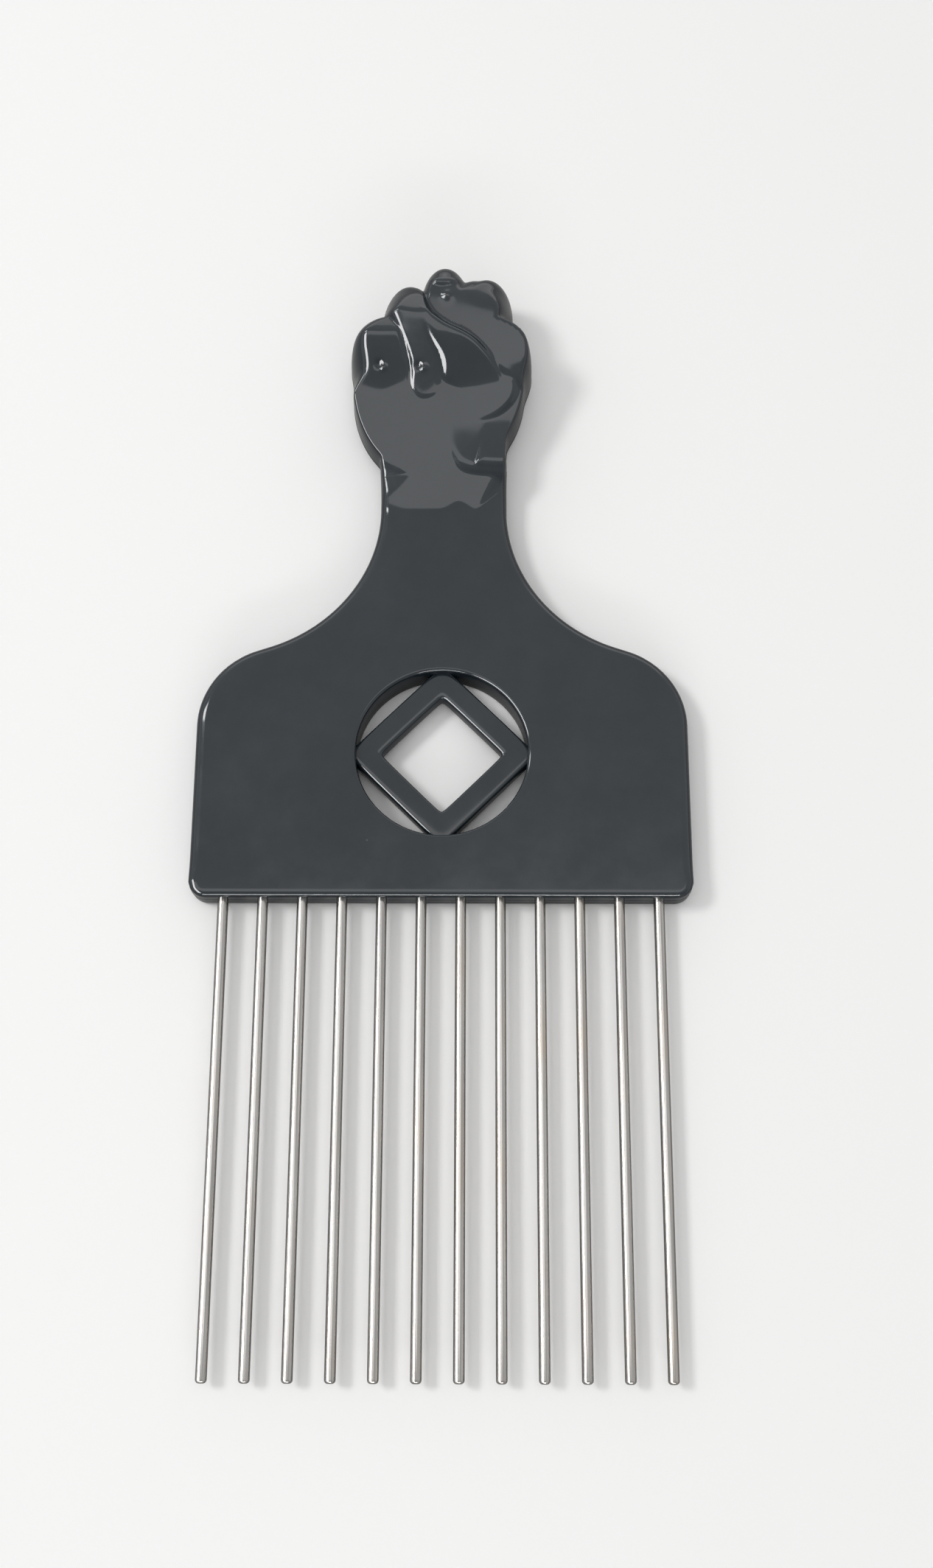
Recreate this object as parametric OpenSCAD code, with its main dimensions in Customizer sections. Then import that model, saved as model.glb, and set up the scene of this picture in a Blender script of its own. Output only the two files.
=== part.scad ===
// Afro pick: one moulded handle, with a comb slab, a round window, a neck and a raised fist,
// cast round twelve straight steel wire tines.
// The part lies on its back: +Z rises out of the front face, +Y runs from the tines to the fist.
// The origin is under the middle of the part, on the plane that it rests on.

/* [Tines] */
// Number of tines
tine_count = 12; // [6:1:12]
// Distance from one tine's axis to the next
tine_pitch = 5.5; // [4:0.1:5.6]
// Diameter of the wire
wire_d = 1.5; // [1:0.1:2.4]
// Length of each tine that stands out of the handle
tine_free_l = 63.5; // [40:0.5:80]
// Length of each wire that is cast into the handle
tine_cast_l = 7; // [5:0.1:7.4]
// Radius on the rim of each tine's tip
tip_r = 0.5; // [0.2:0.05:0.5]
// Depth of the rolled grooves that lock a wire into the plastic
groove_depth = 0.25; // [0.1:0.05:0.3]
// Width of each rolled groove
groove_w = 1; // [0.6:0.1:1.1]
// Number of rolled grooves on each wire
groove_count = 2; // [1:1:2]

/* [Slab] */
// Width of the slab
slab_w = 70; // [68:0.5:80]
// Thickness of the slab and the neck
slab_t = 5; // [4.2:0.1:6]
// Radius of the slab's two lower corners
corner_r = 2.5; // [1.5:0.1:4]
// Height at which the shoulders start to turn in
shoulder_y = 25.4; // [24:0.2:34]
// Radius of the shoulders
shoulder_r = 12; // [9:0.5:14]
// Rounding of the slab's edges, front and back
edge_r = 1; // [0.5:0.1:1.4]

/* [Neck] */
// Width of the neck
neck_w = 18.6; // [17:0.2:20]
// Radius of the hollow curve between shoulder and neck
neck_r = 23; // [20:0.5:27]
// Length of the straight flank where a shoulder runs over into that curve
flank_l = 2; // [1:0.2:4]

/* [Window] */
// Radius of the round window
window_r = 12.2; // [9:0.1:12.4]
// Height of the window's centre above the slab's lower face
window_y = 21.1; // [21:0.1:23]
// Width of the bars of the diamond in the window
bar_w = 3.4; // [2.4:0.1:4]
// Bevel round the window's front rim
rim_bevel = 0.5; // [0.2:0.1:0.8]
// Thickness of the bars
bar_t = 2.8; // [2:0.1:3]
// How far the bars lie below the slab's front face
bar_drop = 1.2; // [0.8:0.1:1.4]

/* [Fist] */
// Width across the hand
hand_w = 27.5; // [25:0.5:30]
// Length of the hand, from the neck to the top knuckle
hand_l = 39.4; // [36:0.2:44]
// Thickness of the hand, from the rest plane to the top of the thumb
hand_t = 14; // [12:0.2:16]
// Rounding of the hand's front edge
hand_round = 5.2; // [4:0.1:6]
// Rounding of the hand's back edge
hand_back_round = 2; // [1:0.1:2.2]
// Clear height of the hand's back above the rest plane
hand_back_gap = 0.4; // [0.2:0.05:0.8]
// Softness of the folds in the palm and the wrist
flesh_soft = 0.7; // [0.4:0.05:1]
// Softness of the creases between the fingers
crease_soft = 0.3; // [0.2:0.02:0.5]
// Softness of the crease round the thumb
thumb_soft = 0.15; // [0.1:0.01:0.3]

/* [Hidden] */

// Gap between a wire and the plastic cast round it
cast_gap = 0.02;
// Overrun of every cutting tool past the face that it cuts
over = 0.5;
// Length of neck that reaches up inside the hand
neck_sink = 5;
// How far the ends of the bars run into the window's wall
bar_sink = 1;
// Smoothness of round shapes
round_fn = 64;
// Steps round a corner, along a shoulder or the neck's curve, and across a rounded edge
corner_steps = 6;
curve_steps = 14;
edge_steps = 4;

wire_r = wire_d / 2;
tine_z = slab_t / 2;
shoulder_x = slab_w / 2 - shoulder_r;
neck_x = neck_w / 2 + neck_r;
// Direction of the line out of a shoulder's centre, square to the flank
flank_a = acos((neck_x - shoulder_x) / norm([shoulder_r + neck_r, flank_l])) - atan(flank_l / (shoulder_r + neck_r));
neck_y = shoulder_y + (shoulder_r + neck_r) * sin(flank_a) + flank_l * cos(flank_a);
flank_start = [shoulder_x + shoulder_r * cos(flank_a), shoulder_y + shoulder_r * sin(flank_a)];
flank_end = [neck_x - neck_r * cos(flank_a), neck_y - neck_r * sin(flank_a)];
hand_top = neck_y + hand_l;
middle_y = (hand_top - tine_free_l) / 2;

// The hand is laid out in shares of its width, length and thickness, from the middle of the neck's end.
// Centre from which its surface is drawn
heart_share = [-0.018, 0.579];
// Outline as a ring of ellipses: centre across, centre up, half width, half length
lobe_shares = [
    [-0.342, 0.637, 0.182, 0.142],
    [-0.204, 0.787, 0.149, 0.132],
    [0, 0.853, 0.135, 0.147],
    [0.207, 0.817, 0.156, 0.132],
    [-0.011, 0.591, 0.487, 0.33],
    [-0.167, 0.492, 0.335, 0.32],
    [0, 0.274, 0.353, 0.444]
];
// Rounded bars, each a curve with a start, a pull and an end: across, up, top, half width, depth
cheek_shares = [[0.298, 0.782, 0.743, 0.167, 0.286], [0.429, 0.619, 0.757, 0.153, 0.286],
                [0.396, 0.425, 0.614, 0.138, 0.243]];
ball_shares = [[0.313, 0.438, 0.729, 0.196, 0.186], [0.189, 0.421, 0.757, 0.196, 0.186],
               [0.109, 0.391, 0.671, 0.182, 0.171]];
heel_shares = [[-0.32, 0.433, 0.686, 0.204, 0.186], [-0.276, 0.348, 0.671, 0.211, 0.171],
               [-0.182, 0.266, 0.6, 0.204, 0.157]];
wrist_shares = [[0.233, 0.382, 0.686, 0.167, 0.229], [0.211, 0.271, 0.671, 0.156, 0.229],
                [0.2, 0.191, 0.614, 0.142, 0.229]];
little_shares = [[-0.4, 0.692, 0.729, 0.131, 0.243], [-0.411, 0.574, 0.786, 0.131, 0.229],
                 [-0.353, 0.514, 0.729, 0.12, 0.214]];
ring_shares = [[-0.236, 0.812, 0.8, 0.131, 0.243], [-0.211, 0.639, 0.886, 0.124, 0.229],
               [-0.12, 0.514, 0.814, 0.12, 0.229]];
middle_shares = [[-0.011, 0.885, 0.814, 0.138, 0.257], [-0.022, 0.708, 0.914, 0.131, 0.229],
                 [-0.022, 0.595, 0.857, 0.109, 0.214]];
index_shares = [[0.24, 0.829, 0.814, 0.153, 0.271], [0.182, 0.703, 0.914, 0.153, 0.243],
                [0.022, 0.705, 0.886, 0.131, 0.229]];
thumb_shares = [[0.305, 0.442, 0.871, 0.142, 0.257], [0.178, 0.508, 1.129, 0.16, 0.314],
                [-0.08, 0.671, 0.921, 0.047, 0.129]];
// The palm: its height at the neck's end, its rise up the whole hand, its cap and its fall to the sides
palm_shares = [0.345, 0.591, 0.614, 0.648];
// Spokes and rings of the mesh that covers the hand
hand_spokes = 104;
front_rings = 26;
back_rings = 6;
// Power that sets how sharply one lobe of the outline gives way to the next
lobe_power = 30;
// Share of a bar's half width at which its side turns into a straight slope
side_share = 0.95;

function across(s) = s * hand_w;
function up(s) = neck_y + s * hand_l;
function high(s) = s * hand_t;
parting = slab_t / 2;
heart = [across(heart_share[0]), up(heart_share[1])];

// Distance from the heart to an ellipse, along the direction c, s
function lobe_reach(c, s, l) =
    let (
        p = [(heart[0] - across(l[0])) / across(l[2]), (heart[1] - up(l[1])) / (l[3] * hand_l)],
        d = [c / across(l[2]), s / (l[3] * hand_l)],
        a = d * d,
        b = p * d,
        e = b * b - a * (p * p - 1)
    )
    e > 0 ? (sqrt(e) - b) / a : 0;

// Radius of the outline at angle t
function outline(t) =
    let (
        reach = [for (l = lobe_shares) max(lobe_reach(cos(t), sin(t), l), 0)],
        far = max(reach)
    )
    far * pow(sumv([for (r = reach) pow(r / far, lobe_power)]), 1 / lobe_power);

function sumv(v) = v * [for (i = v) 1];
function smooth(t) = let (c = min(max(t, 0), 1)) c * c * (3 - 2 * c);
function soft_max(v, k) = let (m = max(v)) m + k * ln(sumv([for (i = v) exp((i - m) / k)]));

// Fall of a round bar's side at q half widths from its axis, as a share of its depth
function side_fall(q) =
    q < side_share
    ? 1 - sqrt(1 - q * q)
    : 1 - sqrt(1 - side_share * side_share)
      + (q - side_share) * side_share / sqrt(1 - side_share * side_share);

// A bar's control point in real sizes
function real(b) = [across(b[0]), up(b[1]), high(b[2]), across(b[3]), high(b[4])];
function all_real(bars) = [for (bar = bars) [for (p = bar) real(p)]];

// Height at x, y of a round bar that follows the curve through a, b, c
function bar_height(x, y, a, b, c) =
    let (
        run = [c[0] - a[0], c[1] - a[1]],
        t = min(max(([x - a[0], y - a[1]] * run) / (run * run), 0), 1),
        q = (1 - t) * (1 - t) * a + 2 * t * (1 - t) * b + t * t * c
    )
    q[2] - q[4] * side_fall(norm([x - q[0], y - q[1]]) / q[3]);

flesh = all_real([cheek_shares, ball_shares, heel_shares, wrist_shares]);
fingers = all_real([little_shares, ring_shares, middle_shares, index_shares]);
thumbs = all_real([thumb_shares]);

function palm(x, y) =
    let (
        slope = high(palm_shares[0]) + high(palm_shares[1]) * (y - neck_y) / hand_l,
        fall = high(palm_shares[3]) * pow(x / hand_w, 2)
    )
    -soft_max([fall - slope, -high(palm_shares[2])], flesh_soft);

// Height of a surface after some bars are laid on it, each blended in by k
function laid_on(z, bars, x, y, k) =
    soft_max(concat([z], [for (b = bars) bar_height(x, y, b[0], b[1], b[2])]), k);

// Height of the hand's front, before its edge is rounded
function relief(x, y) =
    let (
        hand = laid_on(palm(x, y), flesh, x, y, flesh_soft),
        fist = laid_on(hand, fingers, x, y, crease_soft)
    )
    laid_on(fist, thumbs, x, y, thumb_soft);

// Share of the full height at a distance in from the outline, for an edge of radius r
function rolled(inset, r) = let (t = 1 - min(inset / r, 1)) sqrt(1 - t * t);

function front_point(t, reach, share) =
    let (
        x = heart[0] + reach * share * cos(t),
        y = heart[1] + reach * share * sin(t)
    )
    [x, y, parting + (relief(x, y) - parting) * rolled(reach * (1 - share), hand_round)];

function back_point(t, reach, share) =
    let (
        x = heart[0] + reach * share * cos(t),
        y = heart[1] + reach * share * sin(t)
    )
    [x, y, parting - (parting - hand_back_gap) * rolled(reach * (1 - share), hand_back_round)];

// The fist: a front and a back surface that meet on the outline
module fist() {
    reach = [for (i = [0 : hand_spokes - 1]) outline(360 * i / hand_spokes)];
    front = [for (j = [front_rings : -1 : 1], i = [0 : hand_spokes - 1])
        front_point(360 * i / hand_spokes, reach[i], sin(90 * j / front_rings))];
    back = [for (j = [back_rings - 1 : -1 : 1], i = [0 : hand_spokes - 1])
        back_point(360 * i / hand_spokes, reach[i], sin(90 * j / back_rings))];
    poles = [front_point(0, reach[0], 0), back_point(0, reach[0], 0)];
    n = hand_spokes;
    back_start = n * front_rings;
    front_pole = back_start + n * (back_rings - 1);
    front_faces = [for (j = [0 : front_rings - 2], i = [0 : n - 1]) let (k = (i + 1) % n)
        each [[n * j + i, n * (j + 1) + k, n * j + k], [n * j + i, n * (j + 1) + i, n * (j + 1) + k]]];
    front_cap = [for (i = [0 : n - 1])
        [n * (front_rings - 1) + i, front_pole, n * (front_rings - 1) + (i + 1) % n]];
    back_skirt = [for (i = [0 : n - 1]) let (k = (i + 1) % n)
        each [[i, k, back_start + k], [i, back_start + k, back_start + i]]];
    back_faces = [for (j = [0 : back_rings - 3], i = [0 : n - 1]) let (k = (i + 1) % n, s = back_start)
        each [[s + n * j + i, s + n * j + k, s + n * (j + 1) + k],
              [s + n * j + i, s + n * (j + 1) + k, s + n * (j + 1) + i]]];
    back_cap = [for (i = [0 : n - 1]) let (s = back_start + n * (back_rings - 2))
        [s + i, s + (i + 1) % n, front_pole + 1]];
    polyhedron(
        points = concat(front, back, poles),
        faces = concat(front_faces, front_cap, back_skirt, back_faces, back_cap)
    );
}

// Points along an arc about c, each with the direction that faces out of the slab there
function arc_run(c, r, from, to, steps, face) =
    [for (i = [0 : steps])
        let (t = from + (to - from) * i / steps, d = [cos(t), sin(t)])
        [c + r * d, face * d]];

// Right half of the outline of the slab and the neck, from the lower face up
half_outline = concat(
    arc_run([slab_w / 2 - corner_r, corner_r], corner_r, -90, 0, corner_steps, 1),
    arc_run([shoulder_x, shoulder_y], shoulder_r, 0, flank_a, curve_steps, 1),
    arc_run([neck_x, neck_y], neck_r, 180 + flank_a, 180, curve_steps, -1),
    arc_run([neck_w / 2 - corner_r, neck_y + neck_sink - corner_r], corner_r, 0, 90, corner_steps, 1)
);
slab_run = concat(
    half_outline,
    [for (i = [len(half_outline) - 1 : -1 : 0])
        [for (v = half_outline[i]) [-v[0], v[1]]]]
);

// Rim of the slab as rings, each drawn in from the outline and set at a height, from back to front
edge_rings = concat(
    [for (i = [edge_steps : -1 : 0]) let (t = 90 * i / edge_steps)
        [edge_r * (1 - cos(t)), edge_r * (1 - sin(t))]],
    [for (i = [0 : edge_steps]) let (t = 90 * i / edge_steps)
        [edge_r * (1 - cos(t)), slab_t - edge_r * (1 - sin(t))]]
);

// The slab and the neck: a flat front and back with a rounded edge carried along the outline
module slab() {
    n = len(slab_run);
    last = len(edge_rings) - 1;
    polyhedron(
        points = [for (e = edge_rings, p = slab_run) concat(p[0] - e[0] * p[1], e[1])],
        faces = concat(
            [[for (i = [0 : n - 1]) i]],
            [for (j = [0 : last - 1], i = [0 : n - 1]) let (k = (i + 1) % n)
                each [[n * j + i, n * (j + 1) + k, n * j + k], [n * j + i, n * (j + 1) + i, n * (j + 1) + k]]],
            [[for (i = [n - 1 : -1 : 0]) n * last + i]]
        )
    );
}

module window_web() {
    reach = window_r + bar_sink;
    translate([0, window_y, slab_t - bar_drop - bar_t])
        intersection() {
            cylinder(r = reach, h = bar_t, $fn = round_fn);
            rotate([0, 0, 45])
                difference() {
                    cube([reach * sqrt(2), reach * sqrt(2), 2 * bar_t], center = true);
                    cube([reach * sqrt(2) - 2 * bar_w, reach * sqrt(2) - 2 * bar_w, 3 * bar_t], center = true);
                }
        }
}

// Half section of a wire, root end down, grown by a gap for the space that the plastic leaves it
module wire_section(l, gap) {
    difference() {
        translate([0, -gap]) square([wire_r + gap, l + gap]);
        for (i = [1 : groove_count])
            translate([wire_r - groove_depth + gap, i * tine_cast_l / (groove_count + 1) - groove_w / 2 + gap])
                square([groove_depth + over, groove_w - 2 * gap]);
    }
}

// Places the wire numbered i, counted from the left, with its root end inside the slab
module at_tine(i) {
    translate([(i - (tine_count - 1) / 2) * tine_pitch, tine_cast_l, tine_z])
        rotate([90, 0, 0])
            children();
}

module tine(i) {
    color("silver")
        if (i < tine_count)
            seat() at_tine(i)
                rotate_extrude($fn = round_fn) {
                    wire_section(tine_cast_l + tine_free_l - tip_r, 0);
                    square([wire_r - tip_r, tine_cast_l + tine_free_l]);
                    translate([wire_r - tip_r, tine_cast_l + tine_free_l - tip_r])
                        intersection() {
                            circle(r = tip_r, $fn = round_fn);
                            square(tip_r);
                        }
                }
}

// Moves the part from the comb's own zero, on the slab's lower face, to the part's origin
module seat() {
    translate([0, -middle_y, 0]) children();
}

module handle() {
    color("dimgray")
        seat() {
            difference() {
                slab();
                translate([0, window_y, -over]) cylinder(r = window_r, h = slab_t + 2 * over, $fn = round_fn);
                translate([0, window_y, slab_t - rim_bevel])
                    cylinder(r1 = window_r, r2 = window_r + rim_bevel + over, h = rim_bevel + over,
                             $fn = round_fn);
                for (i = [0 : tine_count - 1])
                    at_tine(i) rotate_extrude($fn = round_fn) wire_section(tine_cast_l + over, cast_gap);
            }
            window_web();
            fist();
        }
}

handle();
tine(0);  // tine_01
tine(1);  // tine_02
tine(2);  // tine_03
tine(3);  // tine_04
tine(4);  // tine_05
tine(5);  // tine_06
tine(6);  // tine_07
tine(7);  // tine_08
tine(8);  // tine_09
tine(9);  // tine_10
tine(10);  // tine_11
tine(11);  // tine_12
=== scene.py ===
# %% [markdown]
# # Afro pick
# A pick is a comb for thick, curly hair: straight steel wires cast into one moulded handle.
# This script dresses the CAD model of one. It keeps the places and the main sizes of the CAD parts,
# and gives them the smooth forms and the finishes that plain solids lack.

# %% Load the CAD frame
import math
import bpy
import numpy as np
from mathutils import Matrix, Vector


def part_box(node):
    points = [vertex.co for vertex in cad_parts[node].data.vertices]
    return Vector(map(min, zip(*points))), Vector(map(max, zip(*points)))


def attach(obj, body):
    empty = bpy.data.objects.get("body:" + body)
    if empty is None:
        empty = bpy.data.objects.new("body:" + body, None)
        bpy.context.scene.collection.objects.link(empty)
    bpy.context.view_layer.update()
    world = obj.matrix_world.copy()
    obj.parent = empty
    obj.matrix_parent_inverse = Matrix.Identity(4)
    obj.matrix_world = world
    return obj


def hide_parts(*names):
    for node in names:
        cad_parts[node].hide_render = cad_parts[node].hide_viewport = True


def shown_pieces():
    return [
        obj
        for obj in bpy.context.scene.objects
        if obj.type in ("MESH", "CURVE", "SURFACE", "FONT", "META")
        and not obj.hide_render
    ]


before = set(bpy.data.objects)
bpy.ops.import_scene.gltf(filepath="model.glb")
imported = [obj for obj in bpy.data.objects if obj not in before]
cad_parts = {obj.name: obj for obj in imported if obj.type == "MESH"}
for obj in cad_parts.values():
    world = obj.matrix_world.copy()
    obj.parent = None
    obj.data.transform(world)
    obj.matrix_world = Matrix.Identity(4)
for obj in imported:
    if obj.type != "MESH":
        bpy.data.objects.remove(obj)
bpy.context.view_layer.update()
MM = 0.001


# %% [markdown]
# ## Sizes
# All shapes below are worked out in millimetres, in the comb's own frame: x runs across, y runs from
# the slab's lower face up to the fist, and z rises out of the front face. The CAD part sits lower by
# a fixed distance along y, which the box of its node gives, so nothing has to be fitted by eye.

# %% Sizes in millimetres
zero_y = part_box("handle")[0].y / MM
slab_w, slab_t, corner_r = 70.0, 5.0, 2.5
shoulder_y, shoulder_r = 25.4, 12.0
neck_w, neck_r, flank_l = 18.6, 23.0, 2.0
window_y, window_r = 21.1, 12.2
wire_d, wire_pitch, wire_out, wire_in = 1.5, 5.5, 63.5, 7.0
parting = slab_t / 2
hand_y, hand_rise = 56, 12
# Stands for a distance from an edge that is far enough to leave the surface alone
far_in = 99.0
shoulder_x = slab_w / 2 - shoulder_r
neck_x = neck_w / 2 + neck_r
flank = math.acos((neck_x - shoulder_x) / math.hypot(shoulder_r + neck_r, flank_l))
flank -= math.atan(flank_l / (shoulder_r + neck_r))
neck_y = shoulder_y + (shoulder_r + neck_r) * math.sin(flank) + flank_l * math.cos(flank)
print("neck starts at", round(neck_y, 2), "flank leans", round(math.degrees(flank), 1), "degrees")

# %% [markdown]
# ## From arrays to a piece
# Every form here is an array of points and an array of faces. One helper puts them into a mesh, so
# that the cells below hold only the shapes. The object stays at the origin and the mesh has its place.


# %% Helpers that make a piece and smooth a form
def make_piece(name, points, faces, slot, *nodes):
    """A smooth-shaded piece from points in millimetres. It stands for CAD nodes and rides on the
    body."""
    place = (np.asarray(points) + [0, zero_y, 0]) * MM
    mesh = bpy.data.meshes.new(name)
    mesh.from_pydata(place.tolist(), [], [f for part in faces for f in np.asarray(part).tolist()])
    mesh.validate()
    mesh.shade_smooth()
    piece = bpy.data.objects.new(name, mesh)
    bpy.context.scene.collection.objects.link(piece)
    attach(piece, "root")
    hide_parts(*nodes)
    return piece


def ease(t):
    """Smooth step: 0 up to 0, 1 from 1 on, and t * t * (3 - 2 t) between."""
    t = np.clip(t, 0, 1)
    return t * t * (3 - 2 * t)


def soft_max(values, k):
    """Largest of several arrays, with the corner between them rounded: k * log(sum(exp(v / k)))."""
    v = np.stack(np.broadcast_arrays(*values))
    top = v.max(0)
    return top + k * np.log(np.exp((v - top) / k).sum(0))


def rolled(inset, r):
    """Quarter circle, as a share of its height: sqrt(1 - t * t), where t falls from 1 at the edge to
    0 at the distance r in from it."""
    t = 1 - np.clip(inset / r, 0, 1)
    return np.sqrt(1 - t * t)


def hand_share(y):
    """Share of the hand in the form at height y: 0 on the slab, 1 on the hand, a smooth step between."""
    return ease((y - hand_y) / hand_rise)


print("half way to the edge, a quarter circle stands at", round(float(rolled(0.5, 1)), 3))


# %% [markdown]
# ## Outline of the handle
# The handle is one injection moulding. Its outline is straight lines and arcs up to the neck, and
# above that the rounded lobes of a closed hand. A formula for each half gives the reach from a middle
# line, so a grid of points can fill the outline from side to side with no cutting.


# %% Outline of the slab and the neck
def half_width(y):
    """Half width at height y: corner arc, side, shoulder arc, flank, hollow neck arc, neck."""
    tan, sin, cos = math.tan(flank), math.sin(flank), math.cos(flank)
    corner = slab_w / 2 - corner_r + np.sqrt(np.clip(corner_r**2 - (corner_r - y) ** 2, 0, None))
    shoulder = shoulder_x + np.sqrt(np.clip(shoulder_r**2 - (y - shoulder_y) ** 2, 0, None))
    straight = shoulder_x + shoulder_r * cos - (y - shoulder_y - shoulder_r * sin) * tan
    hollow = neck_x - np.sqrt(np.clip(neck_r**2 - (y - neck_y) ** 2, 0, None))
    ends = [corner_r, shoulder_y, shoulder_y + shoulder_r * sin, neck_y - neck_r * sin, neck_y]
    runs = [corner, slab_w / 2 + 0 * y, shoulder, straight, hollow]
    return np.select([y < e for e in ends], runs, neck_w / 2)


def edge_distance(x, y):
    """Distance in from the outline of slab and neck: the least over its lines and arcs."""
    x = np.abs(x)
    out = [math.cos(flank), math.sin(flank)]
    sx, sy = x - shoulder_x, y - shoulder_y
    along = sy * out[0] - sx * out[1]
    turn = np.arctan2(sy, sx)
    nx, ny = neck_x - x, neck_y - y
    bend = np.arctan2(ny, nx)
    corner_x = slab_w / 2 - corner_r
    return np.min([
        np.where(x <= corner_x, y, far_in),
        np.where((y >= corner_r) & (y <= shoulder_y), slab_w / 2 - x, far_in),
        np.where((x > corner_x) & (y < corner_r),
                 corner_r - np.hypot(x - corner_x, y - corner_r), far_in),
        np.where((turn >= 0) & (turn <= flank), shoulder_r - np.hypot(sx, sy), far_in),
        np.where((along > 0) & (along < flank_l), shoulder_r - sx * out[0] - sy * out[1], far_in),
        np.where((bend >= 0) & (bend <= flank), np.hypot(nx, ny) - neck_r, far_in),
        np.where(y > neck_y, neck_w / 2 - x, far_in),
    ], axis=0)


print("half width at the window:", half_width(np.array([window_y]))[0], "mm")

# %% Outline of the fist
heart = np.array([-0.5, 82.0])
# Lobes: centre across, centre up, half width, half length
lobes = np.array([
    [-9.5, 83.6, 4.7, 5.7], [-5.7, 90.0, 3.75, 4.9], [0.15, 92.6, 3.8, 5.3], [5.2, 91.1, 4.3, 4.75],
    [7.4, 91.2, 3.0, 4.5], [0.4, 82.0, 12.8, 9.0], [-4.2, 78.4, 9.6, 13.8], [1.0, 78.8, 11.1, 13.5],
    [0.0, 70.0, 9.35, 17.5]])
lobe_power = 30


def fist_reach(start_x, start_y, c, s, floor=0.0):
    """Distance from a start point along (c, s) to the ring of lobes: the way out of each ellipse,
    joined as the 30th root of the sum of 30th powers, which is a maximum with rounded corners. A
    floor and a hundredth more keep the sum above nothing."""
    start_x, start_y, c, s, floor = np.broadcast_arrays(start_x, start_y, c, s, floor)
    cx, cy, a, b = lobes.T[:, :, None]
    p, q, dx, dy = (start_x - cx) / a, (start_y - cy) / b, c / a, s / b
    aa, bb, cc = dx * dx + dy * dy, p * dx + q * dy, p * p + q * q - 1
    root = bb * bb - aa * cc
    out = np.where(root > 0, (np.sqrt(np.maximum(root, 0)) - bb) / aa, 0)
    out = np.concatenate([np.maximum(out, 0), floor[None] + 0.01])
    top = out.max(0)
    return top * ((out / top) ** lobe_power).sum(0) ** (1 / lobe_power)


straight_up = fist_reach(*heart[:, None], np.zeros(1), np.ones(1))[0]
print("straight up, the fist ends", round(float(straight_up), 2), "mm from its heart")

# %% [markdown]
# ## A grid that fills the outline
# Up to the heart of the hand the grid is plain rows. Above it the rows turn into rays of a fan, so
# that they meet the knuckles square on. The last few columns crowd towards the edge, where the
# surface rolls over. The round window takes the place of a square block of cells: rings of points
# lead from that square to the circle.

# %% Columns and rows of the grid
inner_n, edge_n, block_n, foot_n = 40, 14, 20, 10
half_n = inner_n + edge_n
block, foot_h, neck_low, hand_low = 14.6, 1.3, 42, 54
# Rows from the foot to the block, from there to the neck, along the neck, and up to the heart
low_n, shoulder_n, neck_n, hand_n = 7, 26, 28, 140
# Width of the edge zone: on the slab, how much more on the hand, and at most where the side leans
zone_slab, zone_more, zone_most = 1.9, 1.4, 5
# Each fade starts at a height and takes a length: the neck's share, and the block's fixed columns
neck_fade_y, neck_fade, block_fade_y, block_fade = 66, 8, 38, 12


def across(reach, zone, fixed):
    """Distances from the middle line to each column: even steps, or steps that keep a block of a
    fixed size, then the edge zone with steps of a circle's cosine."""
    j = np.arange(inner_n + 1) / inner_n
    even = (reach - zone)[:, None] * j
    share = block_n / inner_n
    low = np.minimum(j / share, 1) * block
    high = np.maximum((j - share) / (1 - share), 0) * (reach - zone - block)[:, None]
    inner = even + fixed[:, None] * (low + high - even)
    turn = np.pi / 2 * (1 - np.arange(1, edge_n + 1) / edge_n)
    return np.concatenate([inner, reach[:, None] - zone[:, None] * (1 - np.cos(turn))], axis=1)


foot_rows = foot_h * (1 - np.cos(np.pi / 2 * np.arange(foot_n) / foot_n))
blocks = np.linspace(window_y - block, window_y + block, 2 * block_n + 1)
row_y = np.concatenate([
    foot_rows, np.linspace(foot_h, blocks[0], low_n)[:-1], blocks[:-1],
    np.linspace(blocks[-1], neck_low, shoulder_n)[:-1],
    np.linspace(neck_low, hand_low, neck_n)[:-1], np.linspace(hand_low, heart[1], hand_n)])
middle = heart[0] * ease((row_y - neck_y) / (heart[1] - neck_y))
neck_part = half_width(row_y) * (1 - ease((row_y - neck_fade_y) / neck_fade))
sides = [fist_reach(middle, row_y, way + 0 * row_y, 0 * row_y, neck_part) for way in (-1, 1)]
sides = [np.where(row_y < neck_y, half_width(row_y), s) for s in sides]
lean = [np.sqrt(1 + np.gradient(s, row_y) ** 2) for s in sides]
zone_mm = zone_slab + zone_more * hand_share(row_y)
fixed = 1 - ease((row_y - block_fade_y) / block_fade)
print("rows:", len(row_y), "columns:", 2 * half_n + 1)

# %% Points of the rows and of the fan
left, right = [
    across(side_mm, np.where(row_y < corner_r, zone_mm, np.minimum(zone_mm * slope, zone_most)), fixed)
    for side_mm, slope in zip(sides, lean)]
rows_x = middle[:, None] + np.concatenate([-left[:, ::-1], right[:, 1:]], axis=1)
rows_y = np.repeat(row_y[:, None], rows_x.shape[1], axis=1)
rows_in = np.concatenate([(sides[0][:, None] - left)[:, ::-1] / lean[0][:, None],
                          ((sides[1][:, None] - right) / lean[1][:, None])[:, 1:]], axis=1)
rows_in = np.where(rows_y < neck_y, edge_distance(rows_x, rows_y), rows_in)

fan_n = 200
angle = np.pi * (1 - np.arange(1, fan_n) / fan_n)
reach = fist_reach(heart[0], heart[1], np.cos(angle), np.sin(angle))
rays = across(reach, np.full(reach.shape, zone_mm[-1]), np.zeros(reach.shape))[:, 1:]
fan_x = heart[0] + rays * np.cos(angle)[:, None]
fan_y = heart[1] + rays * np.sin(angle)[:, None]
fan_in = reach[:, None] - rays

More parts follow.
